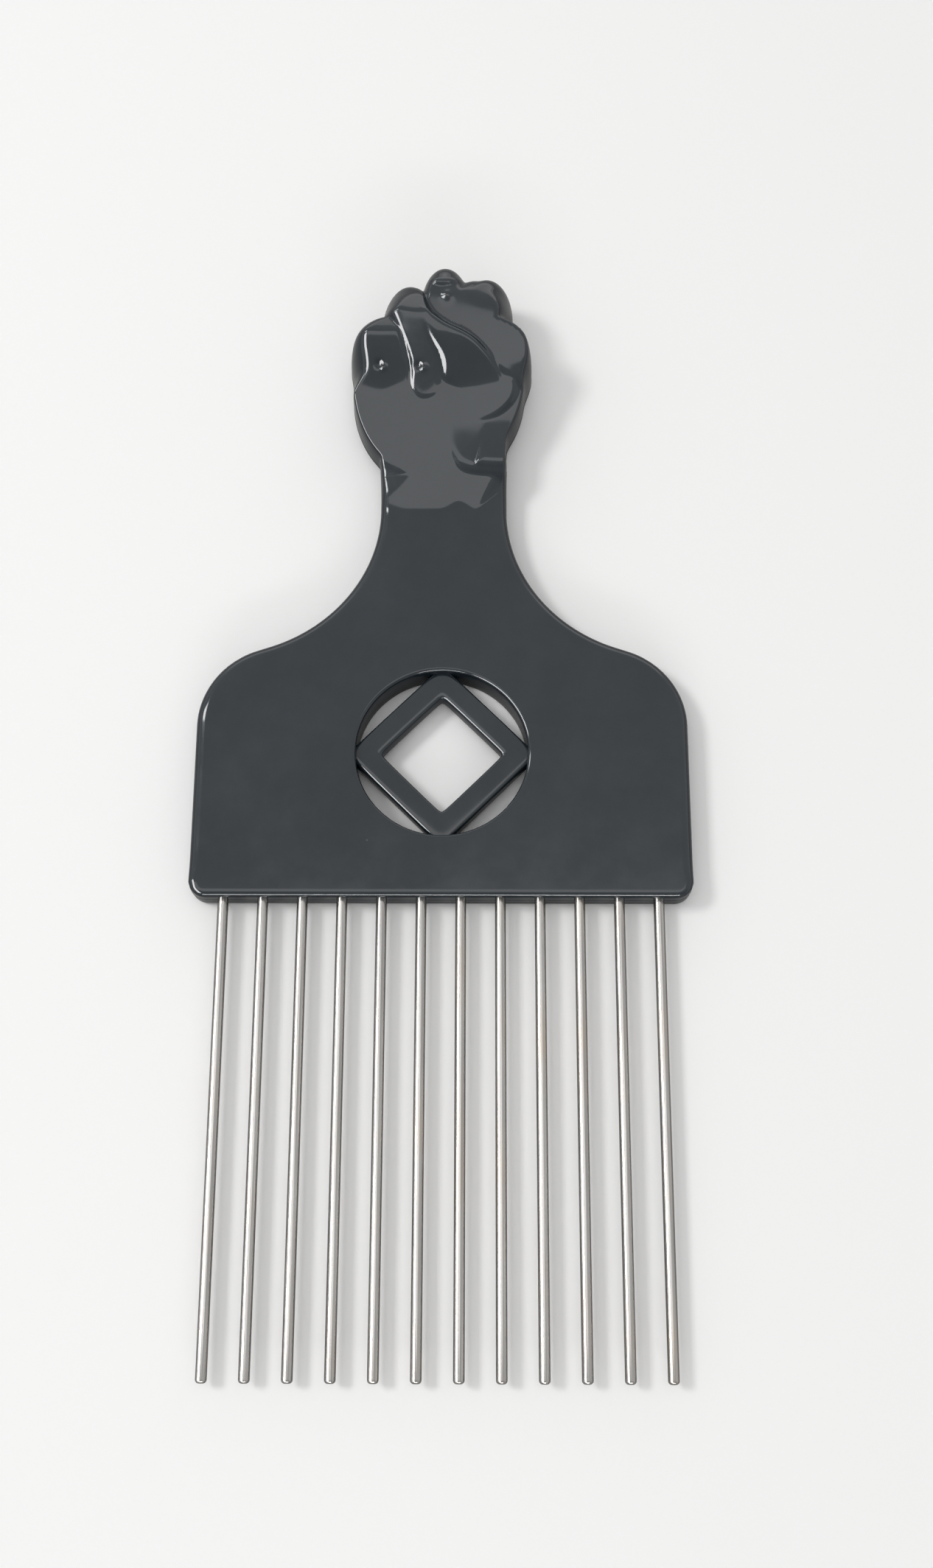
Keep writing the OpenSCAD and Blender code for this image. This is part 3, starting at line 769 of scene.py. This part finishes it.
# %% World: white to the eye and in reflections, gentle as a light
world = bpy.data.worlds.new("studio")
bpy.context.scene.world = world
world.use_nodes = True
tree = world.node_tree
back = tree.nodes["Background"]
back.inputs["Color"].default_value = (1, 1, 1, 1)
path = add_node(tree, "ShaderNodeLightPath", (-800, 0))
either = add_node(tree, "ShaderNodeMath", (-600, 0), operation="MAXIMUM")
any_of = add_node(tree, "ShaderNodeMath", (-400, 0), operation="MAXIMUM")
level = add_node(tree, "ShaderNodeMapRange", (-200, 0), in_To_Min=0.5, in_To_Max=1.0)
join(tree, path, "Is Camera Ray", either, 0)
join(tree, path, "Is Glossy Ray", either, 1)
join(tree, either, "Value", any_of, 0)
join(tree, path, "Is Transmission Ray", any_of, 1)
join(tree, any_of, "Value", level, "Value")
join(tree, level, "Result", back, "Strength")
print("made the world", world.name)


# %% Lamps
def aim(spot, target):
    """Matrix that stands at a spot and looks at a target along its own -Z."""
    z = np.array(spot, float) - np.array(target, float)
    z /= np.linalg.norm(z)
    x = np.cross([0, 1, 0] if abs(z[1]) < 0.9 else [0, 0, 1], z)
    x /= np.linalg.norm(x)
    y = np.cross(z, x)
    return Matrix([[x[0], y[0], z[0], spot[0]], [x[1], y[1], z[1], spot[1]],
                   [x[2], y[2], z[2], spot[2]], [0, 0, 0, 1]])


def softbox(name, spot, width, height, radiance, target=(0, 0.02, 0)):
    """Rectangular lamp of a given radiance: power is radiance * area * pi."""
    lamp = bpy.data.lights.new(name, "AREA")
    lamp.shape = "RECTANGLE"
    lamp.size, lamp.size_y = width, height
    lamp.energy = radiance * width * height * math.pi
    lit = bpy.data.objects.new(name, lamp)
    bpy.context.scene.collection.objects.link(lit)
    lit.matrix_world = aim(spot, target)
    return lit


softbox("panel_overhead", (-0.10, 0.0425, 1.1), 0.9, 0.405, 1.3, (-0.10, 0.0425, 0))
softbox("lamp_left", (-0.62, 0.12, 0.80), 0.20, 0.26, 18.0).visible_glossy = False
softbox("strip_front", (0.05, -0.95, 0.42), 0.8, 0.10, 7.0).visible_glossy = False
softbox("panel_far", (0.0, 1.2, 0.42), 1.8, 0.5, 0.7)
print("lamps:", [lamp.name for lamp in bpy.data.lights])


# %% Cards that only reflections see
def card(name, points, top, bottom):
    """A glowing card. Its strength goes from one value at its lower edge to another at its upper."""
    mesh = bpy.data.meshes.new(name)
    mesh.from_pydata(points, [], [(0, 1, 2, 3)])
    sheet = bpy.data.objects.new(name, mesh)
    bpy.context.scene.collection.objects.link(sheet)
    glow = bpy.data.materials.new(name)
    glow.use_nodes = True
    tree = glow.node_tree
    tree.nodes.remove(tree.nodes["Principled BSDF"])
    light = add_node(tree, "ShaderNodeEmission", (-200, 0), in_Color=(1, 1, 1, 1))
    place = add_node(tree, "ShaderNodeTexCoord", (-800, 0))
    split = add_node(tree, "ShaderNodeSeparateXYZ", (-600, 0))
    heights = [p[2] for p in points]
    grade = add_node(tree, "ShaderNodeMapRange", (-400, 0), in_From_Min=min(heights),
                     in_From_Max=max(heights), in_To_Min=bottom, in_To_Max=top)
    join(tree, place, "Object", split, "Vector")
    join(tree, split, "Z", grade, "Value")
    join(tree, grade, "Result", light, "Strength")
    join(tree, light, "Emission", tree.nodes["Material Output"], "Surface")
    mesh.materials.append(glow)
    for ray in ("camera", "diffuse", "shadow", "transmission"):
        setattr(sheet, "visible_" + ray, False)


grey_top, grey_bottom, left_glow, low_glow = 0.9, 0.34, 17, 30
card("grey_card", [(-1.2, -0.17, 1.05), (1.2, -0.17, 1.05), (1.2, -1.1, 0.35), (-1.2, -1.1, 0.35)],
     grey_top, grey_bottom)
# Both cards at the left lean alike; they differ in where they start and end along the pick
for name, far_y, near_y in (("bright_card", 0.11, -0.60), ("side_card", 0.28, 0.21)):
    corners = [(-0.48, far_y, 0.32), (-0.48, near_y, 0.32), (-0.32, near_y, 0.48), (-0.32, far_y, 0.48)]
    card(name, corners, left_glow, left_glow)
card("low_card", [(-0.3, -0.8, 0.26), (0.3, -0.8, 0.26), (0.3, -0.8, 0.34), (-0.3, -0.8, 0.34)],
     low_glow, low_glow)

# %% [markdown]
# ## Camera
# The camera's place was solved from the photograph: the wires are taken as straight, evenly spaced
# and equally long, and one place and lens puts them where the picture shows them.

# %% Camera from the solved view
focal_px, long_side_px = 2359.8, 2128
solved_eye = [3.545, -57.831, 237.527]
tilt, roll, yaw = (math.radians(v) for v in (17.666, -0.169, -0.137))
turned = np.array(Matrix.Rotation(roll, 3, "Z") @ Matrix.Rotation(yaw, 3, "Y"))
eye = turned.T @ np.array(solved_eye)
look = turned.T @ np.array([0, math.sin(tilt), -math.cos(tilt)])
upward = turned.T @ np.array([0, math.cos(tilt), math.sin(tilt)])
side = np.cross(look, upward)
eye = (eye + [0, zero_y, 0]) * MM
camera = bpy.data.cameras.new("camera")
camera.sensor_width = 36.0
camera.lens = focal_px / long_side_px * camera.sensor_width
camera.clip_start, camera.clip_end = 0.01, 20
camera_at = bpy.data.objects.new("camera", camera)
bpy.context.scene.collection.objects.link(camera_at)
axes = [[side[k], upward[k], -look[k], eye[k]] for k in range(3)]
camera_at.matrix_world = Matrix(axes + [[0, 0, 0, 1]])
bpy.context.scene.camera = camera_at
bpy.context.scene.view_settings.view_transform = "Standard"
print("camera at", np.round(eye / MM, 1), "mm, lens", round(camera.lens, 2), "mm")

# %% [markdown]
# ## The end
# Last, the view layer is brought up to date.

# %% The end
bpy.context.view_layer.update()
